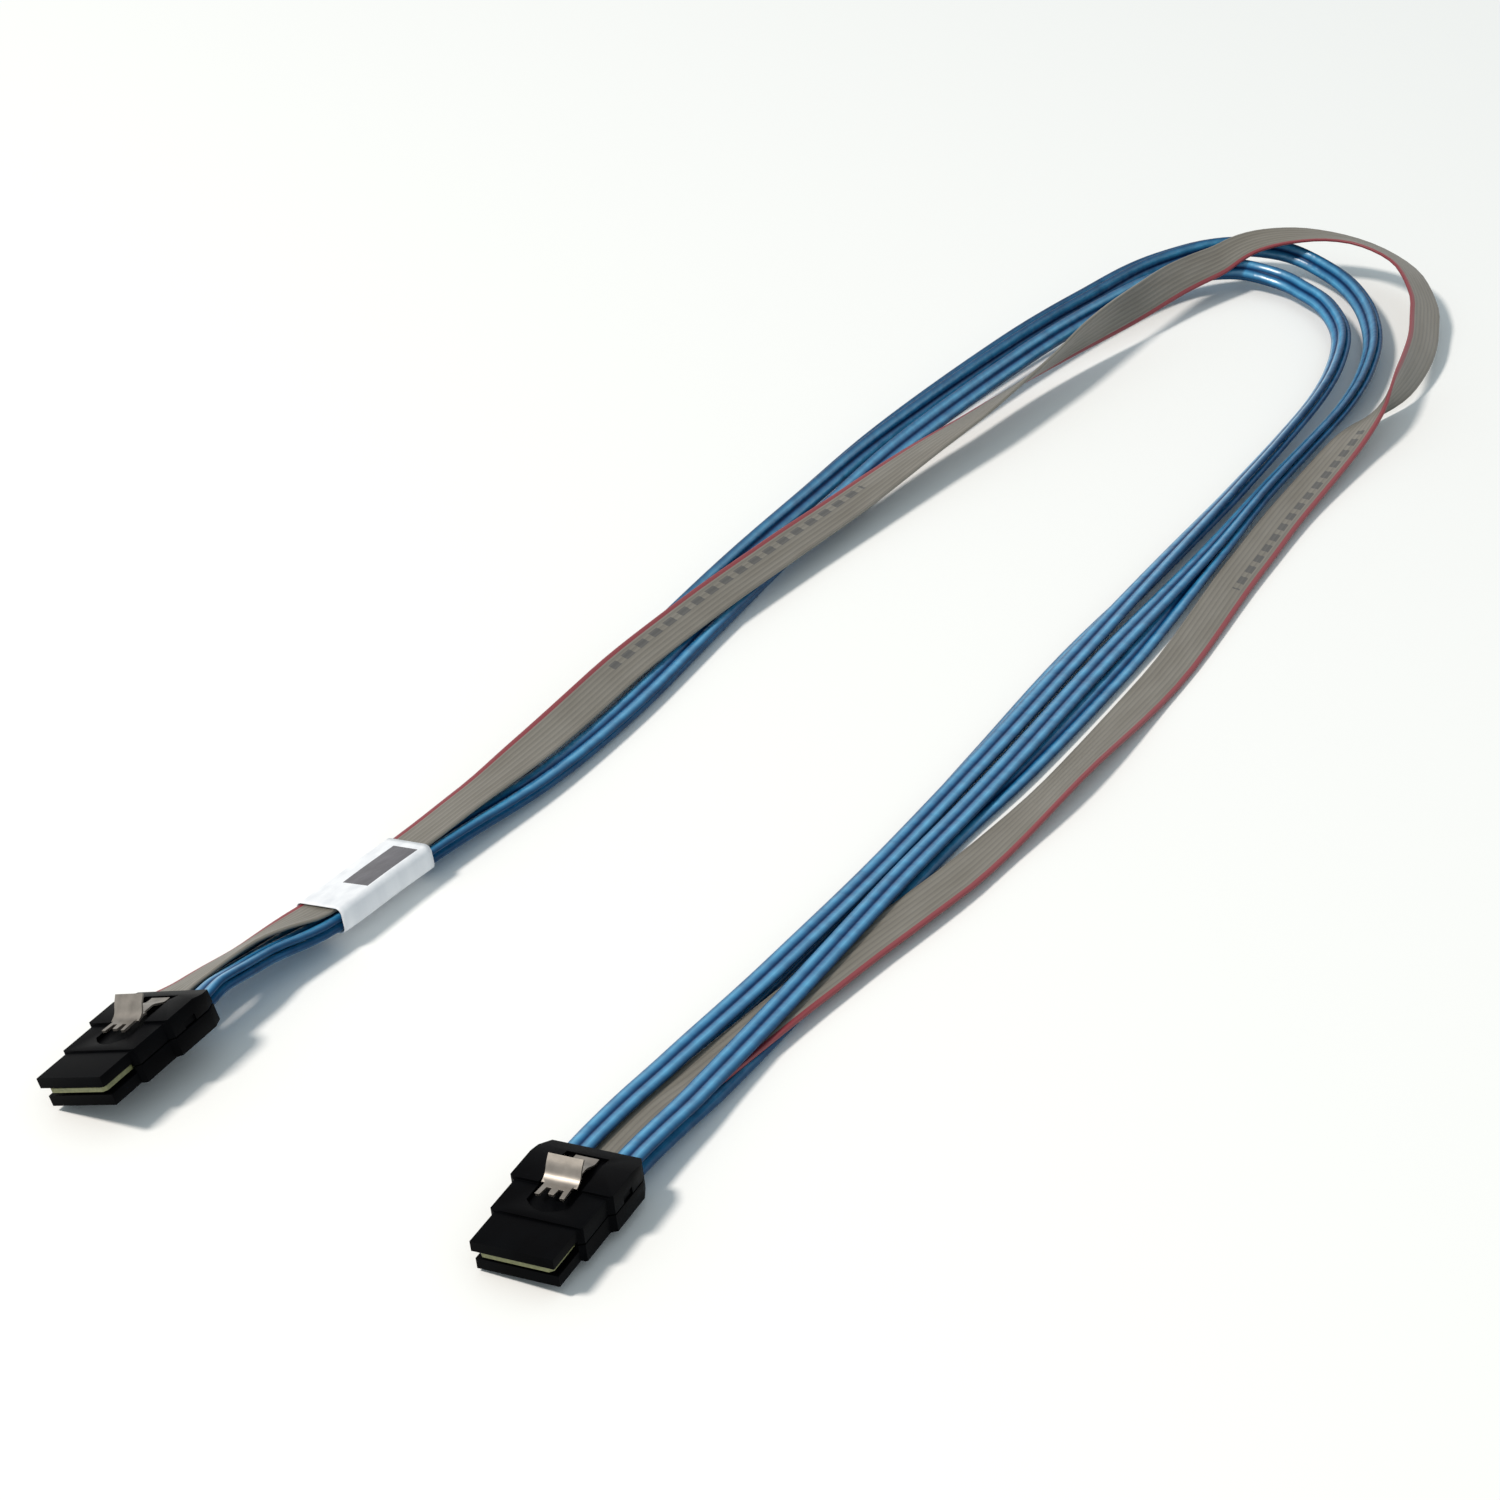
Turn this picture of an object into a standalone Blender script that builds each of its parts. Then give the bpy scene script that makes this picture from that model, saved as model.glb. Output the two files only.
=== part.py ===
# Mini SAS cable: two latched plugs joined by four flat blue cables and one grey ribbon, with a label.
# Sizes are in millimetres in the tables below and become metres when each mesh is made.

import math

import bmesh
import bpy
from mathutils import Matrix, Vector

MM = 0.001

for old in list(bpy.data.objects):
    bpy.data.objects.remove(old, do_unlink=True)

# Clearances
GAP = 0.3
CABLE_GAP = 0.35

# Where the plugs lie: the middle of each rear face, the way its nose points, and its lean
ORIGIN = Vector((-51.3895, -14.3408, 0.0))
NEAR_REAR = (0.0, 0.0)
NEAR_YAW = -90.0
NEAR_ROLL = 6.5
FAR_REAR = (-99.7, 4.7)
FAR_YAW = -93.0
FAR_ROLL = 21.5

# Plug body: u runs forward from the rear face, v sideways and w up from the underside
BODY_HALF_WIDTH = 11.3
REAR_HALF_WIDTH = 9.9
MIDDLE_HALF_WIDTH = 10.1
NOSE_HALF_WIDTH = 9.0
REAR_TAPER_U = 3.0
STEP_U = 14.0
NOSE_U = 24.0
STEP_LENGTH = 0.8
NOSE_STEP_LENGTH = 0.6
JAW_START_U = NOSE_U + NOSE_STEP_LENGTH + 0.2
UPPER_JAW_U = 34.0
LOWER_JAW_U = 33.0
SPLIT_W = 4.0
REAR_SLOPE_U = 6.0
UPPER_JAW_W = 5.1
LOWER_JAW_W = 2.7
LOWER_JAW_BASE_W = 0.3
WALL = 1.0

# Parts inside the plug
CARD_THICKNESS = 1.0
CARD_SIDE_MARGIN = 1.0
CARD_HALF_WIDTH = NOSE_HALF_WIDTH - CARD_SIDE_MARGIN
CARD_NOSE_GAP = 0.8
CARD_CORNER = 0.8
BAR_SIDE_MARGIN = 0.4
BAR_HALF_WIDTH = CARD_HALF_WIDTH - BAR_SIDE_MARGIN
BAR_THICKNESS = 0.6
BAR_LENGTH = 2.0
BAR_HEADROOM = 0.6

# Heights above the card: bar, room over it, skin under the latch recess, recess, then the body's top
RECESS_DEPTH = 1.5
RECESS_SKIN = 0.9
REAR_DROP = 1.3
MIDDLE_DROP = 0.6
NOSE_DROP = 0.4
CAVITY_TOP_W = SPLIT_W + CARD_THICKNESS / 2 + GAP + BAR_THICKNESS + BAR_HEADROOM
RECESS_FLOOR_W = CAVITY_TOP_W + RECESS_SKIN
BODY_TOP_W = RECESS_FLOOR_W + RECESS_DEPTH
REAR_TOP_W = BODY_TOP_W - REAR_DROP
MIDDLE_TOP_W = BODY_TOP_W - MIDDLE_DROP
NOSE_TOP_W = MIDDLE_TOP_W - NOSE_DROP

# Cable opening in the rear wall, and the wider cavity behind it
REAR_WALL = 2.2
OPENING_HALF_WIDTH = 9.3
CAVITY_HALF_WIDTH = OPENING_HALF_WIDTH + 0.1
OPENING_W = (WALL - 0.2, CAVITY_TOP_W + GAP)

# Places along the plug of the parts inside it
CARD_U = (STEP_U - 0.5, UPPER_JAW_U - CARD_NOSE_GAP)
MOULD_U = (REAR_WALL + 0.4, CARD_U[0] - GAP)
MOULD_W = (WALL + GAP, CAVITY_TOP_W - GAP)
BAR_U = (CARD_U[0] + 0.7, CARD_U[0] + 0.7 + BAR_LENGTH)

# Latch: one sprung strip with a raised thumb tab and two hooked prongs
LATCH_THICKNESS = 0.45
LATCH_W = BODY_TOP_W + 0.32
STRIP_HALF_WIDTH = 2.6
TAB_HALF_WIDTH = 3.9
STRIP_U = (3.6, 5.4, 8.4, 13.6)
TAB_U = (13.9, 12.9)
TAB_RISE = (-0.05, 0.6)
TAB_TOP = (10.7, LATCH_W + 4.4)
FORK_U = (11.6, NOSE_U - 5.8)
PIVOT = (3.8, RECESS_FLOOR_W + GAP + LATCH_THICKNESS / 2)
RECESS_HALF_WIDTH = 4.7
RECESS_U = (3.2, NOSE_U - 4.6)
RECESS_ARC = 2.6

# Cables: flats of two cores each, and a flat ribbon
FLAT_WIDTH = 5.8
FLAT_HEIGHT = 1.6
RIBBON_WIDTH = 10.2
RIBBON_HEIGHT = 0.9
INSIDE_PLUG = 2.4
POINTS_PER_STATION = 3

# Label sleeve around the bundle
LABEL_STATIONS = (30.6, 31.95)
LABEL_RINGS = 7
LABEL_WALL = 0.3
LABEL_SPAN = (-6.5, 6.35)
LABEL_HEIGHT = (-2.2, 3.45)

# The middle line of the bundle, from the near plug round the loop to the far plug, 36 stations
SPINE = [
    (-0.5, 0.3, 4.8), (-0.2, 8, 4.5), (0.7, 20, 4), (2.6, 38, 3.2), (6, 76, 2.7),
    (9, 125, 2.7), (13, 174, 2.7), (16, 228, 2.7), (20, 288, 2.8), (22, 325, 3.2),
    (24, 359, 3.6), (25, 386, 4), (23.5, 408, 4.3), (19, 429, 4.6), (10, 448, 5),
    (-1, 460, 5), (-14, 465, 5.5), (-27, 463, 6), (-38, 453, 6.5), (-47, 436, 7),
    (-54, 412, 7), (-60, 387, 7), (-65, 362, 6.5), (-70, 332, 6), (-75, 300, 5),
    (-78, 268, 4), (-80, 236, 3.4), (-81, 200, 2.8), (-81, 160, 2.8), (-83, 124, 3.2),
    (-87, 94, 3.8), (-90.7, 68, 4.2), (-93.4, 46, 4.7), (-97.4, 28, 5.8), (-100.4, 14, 7),
    (-101.2, 5.1, 7.65),
]

# Lean of the whole bundle: station, degrees
ROLL = [
    (0, 6.5), (3, 2), (4, 0), (28.5, 0), (29.5, -5), (30.5, -12), (32, -14), (33, -28),
    (34, -29), (35, -21.5),
]

# The two flats of each pair: station, outward, up, tilt, spacing between the flats, slip
INNER = [
    (0, -5, 0, 0, 3.1, 0), (2, -5, 0, 0, 3.1, 0), (3, -5.3, 0, 0, 3.1, -0.5),
    (4, -4.4, 0, 0, 3.1, -0.8), (5, -3.5, -0.6, 0, 1.9, -0.6), (6, -5, -0.6, 0, 1.9, -1.6),
    (7, -5.6, -0.5, 4, 1.9, -2.4), (8, -4.6, 0.45, 25, 1.9, -1), (9, -3.8, 0.2, 38, 1.9, 0),
    (11, -4.3, 0, 50, 1.9, 0), (13, -4.6, 0, 52, 1.9, 0), (14, -6.5, 0, 55, 1.9, 0),
    (15, -8.6, 0, 55, 1.9, 0), (16, -8.5, 0, 50, 1.9, 0), (18, -4.5, 0, 45, 1.9, 0),
    (20, -1.8, 0, 42, 1.9, 0), (23, -2.2, 0, 38, 1.9, 0), (25, -4, 0, 22, 1.9, 0),
    (27, -5, -0.2, 8, 1.9, 0), (28, -4.8, -0.4, 5, 1.9, 0), (29, -4.3, -0.4, 5, 1.9, 0),
    (30, -3.5, -0.1, 2, 1.9, 0), (30.6, -3.2, 0, 0, 1.9, 0), (31, -3.15, 0, 0, 1.9, 0),
    (32, -3.2, 0, 0, 1.9, 0), (33, -3.4, 0, 0, 1.9, 0), (33.6, -4.9, 0, 0, 1.9, 0),
    (34, -5.35, 0, 0, 1.9, 0), (35, -5.35, 0, 0, 1.9, 0),
]
OUTER = [
    (0, 6.15, 0, 0, 3.1, 0), (2, 6.1, 0, 0, 3.1, 0), (3, 5.4, 0, 0, 3.1, 0.8),
    (4, 4.2, 0, 0, 3.1, 1.2), (4.7, 3.7, -0.2, 0, 3.1, 0.9), (5.3, 3.6, -0.5, 0, 2.5, 1.2),
    (6, 4, -0.6, 0, 1.9, 3.4), (7, 4.4, -0.6, 0, 1.9, 4.8), (8, 3.7, 0, 20, 1.9, 1.6),
    (9, 3.2, 0.2, 38, 1.9, 0), (11, 4.3, 0, 50, 1.9, 0), (14, 4.6, 0, 55, 1.9, 0),
    (15.2, 5.6, 0.5, 58, 2.1, 0), (16.4, 6.7, 1.9, 61, 2.5, 0), (17.4, 6.9, 1.6, 64, 2.8, 0),
    (18.4, 6.4, 0.6, 67, 3.2, 0), (20, 5.4, 0, 70, 4, 0), (23, 5, 0, 62, 3.4, 0),
    (25, 4, 0.3, 45, 1.9, 0), (27, 4.3, 0.7, 38, 1.9, 0), (28, 4.2, 0.5, 32, 1.9, 0),
    (29, 3.8, 0.1, 20, 1.9, 0), (30, 3.1, 0, 8, 1.9, 0), (30.6, 3.05, 0, 2, 1.9, 0),
    (31, 3.05, 0, 0, 1.9, 0), (32, 3.1, 0, 0, 1.9, 0), (33, 2.9, -0.3, 0, 1.9, 0),
    (34, 3.3, -0.9, 0, 1.9, 0), (35, 3.5, -0.9, 0, 1.9, 0),
]

# The ribbon: station, outward, up, tilt
RIBBON = [
    (0, 1, 0, 0), (2, 0.8, 0, 0), (3, 2, 0, 0), (3.6, 3.6, 0, 0), (4.2, 6.8, -0.05, 0),
    (4.7, 11, -0.15, 0), (5, 13.2, -0.5, 0), (5.3, 14.2, -1, 5), (6, 16, -0.2, 20), (7, 17, -1.9, 0),
    (8, 13.2, -1.2, -4), (9, 12, -1, 0), (10, 12.6, 0.6, 8), (10.6, 13.4, 1.9, 32), (11.1, 14.6, 2.4, 75),
    (11.7, 16.5, 2.8, 115), (12.5, 17.9, 2.6, 138), (13.2, 19.2, 2.9, 149), (13.7, 20.8, 4, 151), (14.3, 21, 6, 153),
    (15, 17.4, 7.8, 160), (15.5, 12, 8.4, 171), (16, 6.3, 8.1, 185), (16.6, 1, 7, 196), (17.2, -3.2, 5.6, 204),
    (18, -7.6, 3.9, 212), (19, -10.2, 3.5, 226), (20, -11.8, 3.4, 248), (21, -12.6, 3.4, 277), (22, -13.3, 3.1, 307),
    (23, -13.3, 3, 332), (24, -12, 3.2, 352), (25, -9.6, 3.4, 368), (26, -6, 3.7, 375), (27, -1.3, 3.9, 375),
    (28, 2.4, 3.9, 374), (29, 1.8, 3.8, 366), (29.7, 0.8, 3.4, 357), (30.5, 0.3, 2.7, 360), (31, 0.2, 2.6, 360),
    (32, 0.7, 2.65, 360), (32.5, 1.8, 2.9, 353), (33, 2.7, 2.75, 350), (33.5, 3, 2.3, 354), (34.1, 3.1, 1.75, 359),
    (35, 3.1, 1.7, 360),
]


# Plug frames
def plug_frame(rear, yaw, roll):
    """The matrix that takes a plug's own u, v, w (mm) to the world (mm), with its lower edge on the floor."""
    turn = Matrix.Rotation(math.radians(yaw), 4, "Z") @ Matrix.Rotation(math.radians(roll), 4, "X")
    lift = BODY_HALF_WIDTH * math.sin(math.radians(roll))
    return Matrix.Translation(Vector((rear[0], rear[1], lift)) - ORIGIN) @ turn


PLUGS = {
    "near": plug_frame(NEAR_REAR, NEAR_YAW, NEAR_ROLL),
    "far": plug_frame(FAR_REAR, FAR_YAW, FAR_ROLL),
}


# Materials
def material(name, colour, roughness, metallic=0.0):
    made = bpy.data.materials.new(name)
    made.use_nodes = True
    shader = made.node_tree.nodes["Principled BSDF"]
    shader.inputs["Base Color"].default_value = (*colour, 1.0)
    shader.inputs["Roughness"].default_value = roughness
    shader.inputs["Metallic"].default_value = metallic
    return made


# Mesh helpers
def new_object(name, verts, faces, look=None, origin=None):
    """Makes a closed mesh object from points in mm; its origin can sit on a joint axis."""
    base = Vector((0.0, 0.0, 0.0)) if origin is None else origin
    mesh = bpy.data.meshes.new(name)
    mesh.from_pydata([tuple((Vector(v) - base) * MM) for v in verts], [], faces)
    shape = bmesh.new()
    shape.from_mesh(mesh)
    bmesh.ops.recalc_face_normals(shape, faces=shape.faces)
    shape.to_mesh(mesh)
    shape.free()
    made = bpy.data.objects.new(name, mesh)
    made.location = base * MM
    bpy.context.collection.objects.link(made)
    if look is not None:
        mesh.materials.append(look)
    return made


def loft(rings):
    """Joins equal closed rings of points into one capped solid."""
    count = len(rings[0])
    verts = [point for ring in rings for point in ring]
    faces = []
    for i in range(len(rings) - 1):
        for j in range(count):
            k = (j + 1) % count
            faces.append((i * count + j, i * count + k, (i + 1) * count + k, (i + 1) * count + j))
    faces.append(tuple(range(count))[::-1])
    faces.append(tuple((len(rings) - 1) * count + j for j in range(count)))
    return verts, faces


def prism(plan, low, high):
    """A solid with a plan outline in u and v, between two heights."""
    return loft([[(u, v, low) for u, v in plan], [(u, v, high) for u, v in plan]])


def side_prism(profile, half_width):
    """A solid with a side outline in u and w, as wide as twice half_width."""
    return loft([[(u, -half_width, w) for u, w in profile], [(u, half_width, w) for u, w in profile]])


def box(u, v, w):
    return prism([(u[0], v[0]), (u[1], v[0]), (u[1], v[1]), (u[0], v[1])], w[0], w[1])


def mirrored(half):
    """A full plan outline from the half with v above zero."""
    return half + [(u, -v) for u, v in reversed(half)]


def bent_strip(line, thickness):
    """The side outline of a sheet-metal strip that follows a line of u, w points."""
    upper = []
    lower = []
    for i, (u, w) in enumerate(line):
        before = Vector(line[max(i - 1, 0)])
        after = Vector(line[min(i + 1, len(line) - 1)])
        along = (after - before).normalized()
        across = Vector((-along.y, along.x))
        half = thickness / 2
        if 0 < i < len(line) - 1:
            first = (Vector((u, w)) - before).normalized()
            half /= max(along.dot(first), 0.5)
        upper.append((u + across.x * half, w + across.y * half))
        lower.append((u - across.x * half, w - across.y * half))
    return upper + lower[::-1]


def put(name, solid, frame, look=None, origin=None):
    """Places a solid given in a plug's own u, v, w."""
    verts, faces = solid
    return new_object(name, [frame @ Vector(v) for v in verts], faces, look, origin)


def cut(target, tool, operation="DIFFERENCE"):
    """Adds an exact Boolean with a tool that stays in the file as a wire."""
    tool.hide_render = True
    tool.display_type = "WIRE"
    step = target.modifiers.new(tool.name, "BOOLEAN")
    step.operation = operation
    step.solver = "EXACT"
    step.object = tool


# Cable curves
def smooth(points, t):
    """A point on the Catmull-Rom curve through the points, at station t."""
    i = min(max(int(math.floor(t)), 0), len(points) - 2)
    f = t - i
    p1 = Vector(points[i])
    p2 = Vector(points[i + 1])
    p0 = Vector(points[i - 1]) if i > 0 else p1 * 2 - p2
    p3 = Vector(points[i + 2]) if i + 2 < len(points) else p2 * 2 - p1
    return (p1 * 2 + (p2 - p0) * f + (p0 * 2 - p1 * 5 + p2 * 4 - p3) * f**2 + (p1 * 3 - p0 - p2 * 3 + p3) * f**3) / 2


def lane(keys, t):
    """Reads a table by station: a smooth curve through its rows that never overshoots them."""
    i = 0
    while i < len(keys) - 2 and keys[i + 1][0] <= t:
        i += 1
    step = keys[i + 1][0] - keys[i][0]
    f = (t - keys[i][0]) / step
    values = []
    for column in range(1, len(keys[0])):

        def slope(k):
            if k <= 0 or k >= len(keys) - 1:
                return 0.0
            before = (keys[k][column] - keys[k - 1][column]) / (keys[k][0] - keys[k - 1][0])
            after = (keys[k + 1][column] - keys[k][column]) / (keys[k + 1][0] - keys[k][0])
            return 2 * before * after / (before + after) if before * after > 0 else 0.0

        values.append(
            (2 * f**3 - 3 * f**2 + 1) * keys[i][column]
            + (f**3 - 2 * f**2 + f) * step * slope(i)
            + (3 * f**2 - 2 * f**3) * keys[i + 1][column]
            + (f**3 - f**2) * step * slope(i + 1)
        )
    return values


def bundle_frame(t):
    """The bundle's middle and its outward, up and forward directions at station t."""
    middle = smooth(SPINE, t)
    last = len(SPINE) - 1
    along = (smooth(SPINE, min(t + 0.001, last)) - smooth(SPINE, max(t - 0.001, 0.0))).normalized()
    outward = Vector((along.y, -along.x, 0.0)).normalized()
    up = outward.cross(along)
    lean = math.radians(lane(ROLL, t)[0])
    return (
        middle,
        outward * math.cos(lean) + up * math.sin(lean),
        up * math.cos(lean) - outward * math.sin(lean),
        along,
    )


def flat_section(keys, upper, t):
    """The middle and the width and thickness directions of one flat of a pair."""
    middle, outward, up, _ = bundle_frame(t)
    out, rise, tilt, spacing, slip = lane(keys, t)
    turn = math.radians(tilt)
    side = outward * math.cos(turn) + up * math.sin(turn)
    face = up * math.cos(turn) - outward * math.sin(turn)
    sign = 1.0 if upper else -1.0
    centre = middle + outward * out + up * rise + face * (sign * spacing / 2) - side * (sign * slip / 2)
    return centre, side, face


def ribbon_section(t):
    middle, outward, up, _ = bundle_frame(t)
    out, rise, tilt = lane(RIBBON, t)
    turn = math.radians(tilt)
    side = outward * math.cos(turn) + up * math.sin(turn)
    face = up * math.cos(turn) - outward * math.sin(turn)
    return middle + outward * out + up * rise, side, face


def sweep(section, profile):
    """Sweeps a profile along a cable, and on by a straight piece into each plug."""
    last = len(SPINE) - 1
    count = last * POINTS_PER_STATION
    rings = []
    for i in range(count + 1):
        t = i / POINTS_PER_STATION
        centre, side, face = section(t)
        if i in (0, count):
            along = bundle_frame(t)[3]
            inward = along * (-INSIDE_PLUG if i == 0 else INSIDE_PLUG)
            straight = [centre + inward + side * x + face * y - ORIGIN for x, y in profile]
        ring = [centre + side * x + face * y - ORIGIN for x, y in profile]
        if i == 0:
            rings.append(straight)
        rings.append(ring)
        if i == count:
            rings.append(straight)
    return loft(rings)


# Looks
BLACK = material("black_plastic", (0.004, 0.0045, 0.0055), 0.42)
STEEL = material("latch_steel", (0.47, 0.44, 0.38), 0.28, 1.0)
BOARD = material("circuit_board", (0.22, 0.2, 0.07), 0.45)
MOULD = material("clear_mould", (0.55, 0.52, 0.42), 0.5)
COPPER = material("ground_bar", (0.72, 0.6, 0.35), 0.35, 1.0)
BLUE = material("blue_jacket", (0.045, 0.19, 0.39), 0.38)
GREY = material("grey_ribbon", (0.27, 0.25, 0.23), 0.5)
WHITE = material("label_film", (0.85, 0.87, 0.91), 0.45)

# Plan of a plug, without its nose
BODY_PLAN = mirrored(
    [
        (0.0, REAR_HALF_WIDTH),
        (REAR_TAPER_U, BODY_HALF_WIDTH),
        (STEP_U, BODY_HALF_WIDTH),
        (STEP_U + STEP_LENGTH, MIDDLE_HALF_WIDTH),
        (NOSE_U, MIDDLE_HALF_WIDTH),
        (NOSE_U + NOSE_STEP_LENGTH, NOSE_HALF_WIDTH),
    ]
)
CUTTER_REACH = 4.0
FAR_OUT = UPPER_JAW_U + CUTTER_REACH
CUT_V = (-BODY_HALF_WIDTH - CUTTER_REACH, BODY_HALF_WIDTH + CUTTER_REACH)
CUT_TOP = BODY_TOP_W + CUTTER_REACH


def nose_plan(front):
    return BODY_PLAN[:6] + [(front, NOSE_HALF_WIDTH), (front, -NOSE_HALF_WIDTH)] + BODY_PLAN[6:]


def hollow(name, shell, frame):
    """Cuts the inside, the cable opening and the card's slot out of a shell."""
    cut(
        shell,
        put(
            name + "_cavity_cutter",
            box(
                (REAR_WALL, NOSE_U - WALL),
                (-CAVITY_HALF_WIDTH, CAVITY_HALF_WIDTH),
                (WALL, CAVITY_TOP_W),
            ),
            frame,
        ),
    )
    cut(
        shell,
        put(
            name + "_opening_cutter",
            box((-1.0, REAR_WALL + 0.5), (-OPENING_HALF_WIDTH, OPENING_HALF_WIDTH), OPENING_W),
            frame,
        ),
    )
    slot = CARD_THICKNESS / 2 + GAP
    half = CARD_HALF_WIDTH + GAP
    cut(
        shell,
        put(
            name + "_slot_cutter",
            box((NOSE_U - WALL - 0.5, NOSE_U + 1.5), (-half, half), (SPLIT_W - slot, SPLIT_W + slot)),
            frame,
        ),
    )


def upper_shell(side, frame):
    shell = put(
        side + "_upper_shell", prism(nose_plan(UPPER_JAW_U), SPLIT_W + GAP / 2, BODY_TOP_W), frame, BLACK
    )
    hollow(side + "_upper", shell, frame)
    slope = (BODY_TOP_W - REAR_TOP_W) / REAR_SLOPE_U
    rear = [(-2.0, REAR_TOP_W - 2.0 * slope), (REAR_SLOPE_U + 2.0, BODY_TOP_W + 2.0 * slope), (-2.0, CUT_TOP + 2.0)]
    cut(shell, put(side + "_rear_slope_cutter", side_prism(rear, CUT_V[1]), frame))
    steps = (
        ("middle_step", STEP_U + STEP_LENGTH / 2, MIDDLE_TOP_W),
        ("nose_step", NOSE_U + NOSE_STEP_LENGTH / 2, NOSE_TOP_W),
    )
    for name, start, height in steps:
        cut(shell, put(side + "_" + name + "_cutter", box((start, FAR_OUT), CUT_V, (height, CUT_TOP)), frame))
    jaw = box((JAW_START_U, FAR_OUT), CUT_V, (0.0, UPPER_JAW_W))
    cut(shell, put(side + "_upper_jaw_cutter", jaw, frame))
    arc = []
    for i in range(7):
        across = RECESS_HALF_WIDTH * (1 - i / 3)
        arc.append((RECESS_U[1] + RECESS_ARC * (1 - (across / RECESS_HALF_WIDTH) ** 2), across))
    recess = [(RECESS_U[0], RECESS_HALF_WIDTH)] + arc + [(RECESS_U[0], -RECESS_HALF_WIDTH)]
    cut(shell, put(side + "_recess_cutter", prism(recess, RECESS_FLOOR_W, CUT_TOP), frame))
    return shell


def lower_shell(side, frame):
    shell = put(side + "_lower_shell", prism(nose_plan(LOWER_JAW_U), 0.0, SPLIT_W - GAP / 2), frame, BLACK)
    hollow(side + "_lower", shell, frame)
    above = box((JAW_START_U, FAR_OUT), CUT_V, (LOWER_JAW_W, BODY_TOP_W))
    cut(shell, put(side + "_lower_jaw_cutter", above, frame))
    below = box((NOSE_U + NOSE_STEP_LENGTH / 2, FAR_OUT), CUT_V, (-2.0, LOWER_JAW_BASE_W))
    cut(shell, put(side + "_jaw_base_cutter", below, frame))
    return shell


def inner_parts(side, frame):
    half = CARD_THICKNESS / 2
    card = mirrored(
        [
            (CARD_U[0], CARD_HALF_WIDTH),
            (CARD_U[1] - CARD_CORNER, CARD_HALF_WIDTH),
            (CARD_U[1], CARD_HALF_WIDTH - CARD_CORNER),
        ]
    )
    put(side + "_paddle_card", prism(card, SPLIT_W - half, SPLIT_W + half), frame, BOARD)
    inset = CAVITY_HALF_WIDTH - GAP
    put(side + "_inner_mould", box(MOULD_U, (-inset, inset), MOULD_W), frame, MOULD)
    top = SPLIT_W + half + GAP
    across = (-BAR_HALF_WIDTH, BAR_HALF_WIDTH)
    put(side + "_upper_ground_bar", box(BAR_U, across, (top, top + BAR_THICKNESS)), frame, COPPER)
    under = SPLIT_W - half - GAP
    put(side + "_lower_ground_bar", box(BAR_U, across, (under - BAR_THICKNESS, under)), frame, COPPER)


def latch(side, frame):
    """One sprung steel piece; its origin is on its bending line near the rear of the recess."""
    pivot = frame @ Vector((PIVOT[0], 0.0, PIVOT[1]))
    heights = (PIVOT[1], PIVOT[1], LATCH_W, LATCH_W)
    strip = bent_strip(list(zip(STRIP_U, heights)), LATCH_THICKNESS)
    made = put(side + "_latch", side_prism(strip, STRIP_HALF_WIDTH), frame, STEEL, pivot)
    tab = bent_strip([(u, LATCH_W + rise) for u, rise in zip(TAB_U, TAB_RISE)] + [TAB_TOP], LATCH_THICKNESS)
    cut(made, put(side + "_tab_tool", side_prism(tab, TAB_HALF_WIDTH), frame), "UNION")
    fork = [
        (FORK_U[0], 3.3),
        (14.2, 3.3),
        (15.4, STRIP_HALF_WIDTH + 0.1),
        (FORK_U[1], STRIP_HALF_WIDTH + 0.1),
        (FORK_U[1], 0.9),
        (15.9, 0.9),
    ]
    low = LATCH_W - LATCH_THICKNESS / 2 - 0.03
    cut(made, put(side + "_fork_tool", prism(mirrored(fork), low, low + LATCH_THICKNESS + 0.07), frame), "UNION")
    return made


for side, frame in PLUGS.items():
    upper_shell(side, frame)
    lower_shell(side, frame)
    inner_parts(side, frame)
    latch(side, frame)

# Flat cables
x = FLAT_WIDTH / 2
y = FLAT_HEIGHT / 2
FLAT_PROFILE = [
    (-x, -y / 2),
    (-x + 1.2, -y),
    (x - 1.2, -y),
    (x, -y / 2),
    (x, y / 2),
    (x - 1.2, y),
    (-x + 1.2, y),
    (-x, y / 2),
]
for pair, keys in (("inner", INNER), ("outer", OUTER)):
    for level in ("upper", "lower"):
        solid = sweep(lambda t: flat_section(keys, level == "upper", t), FLAT_PROFILE)
        new_object(pair + "_" + level + "_cable", *solid, BLUE)

# Ribbon
x = RIBBON_WIDTH / 2
y = RIBBON_HEIGHT / 2
half = [(-x, -y), (-x / 3, -y), (x / 3, -y), (x, -y)]
new_object("ribbon", *sweep(ribbon_section, half + [(a, -b) for a, b in reversed(half)]), GREY)


# Label sleeve
def label_sleeve():
    """A thin rectangular sleeve that follows the bundle, open at both ends."""
    verts = []
    faces = []
    for i in range(LABEL_RINGS):
        t = LABEL_STATIONS[0] + (LABEL_STATIONS[1] - LABEL_STATIONS[0]) * i / (LABEL_RINGS - 1)
        middle, outward, up, _ = bundle_frame(t)
        for grow in (LABEL_WALL, 0.0):
            left = LABEL_SPAN[0] - grow
            right = LABEL_SPAN[1] + grow
            low = LABEL_HEIGHT[0] - grow
            high = LABEL_HEIGHT[1] + grow
            for a, b in ((left, low), (right, low), (right, high), (left, high)):
                verts.append(middle + outward * a + up * b - ORIGIN)
    for i in range(LABEL_RINGS - 1):
        for j in range(4):
            k = (j + 1) % 4
            for ring in (0, 4):
                a = i * 8 + ring
                faces.append((a + j, a + k, a + 8 + k, a + 8 + j))
    for end in (0, (LABEL_RINGS - 1) * 8):
        for j in range(4):
            k = (j + 1) % 4
            faces.append((end + j, end + k, end + 4 + k, end + 4 + j))
    return verts, faces


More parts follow.
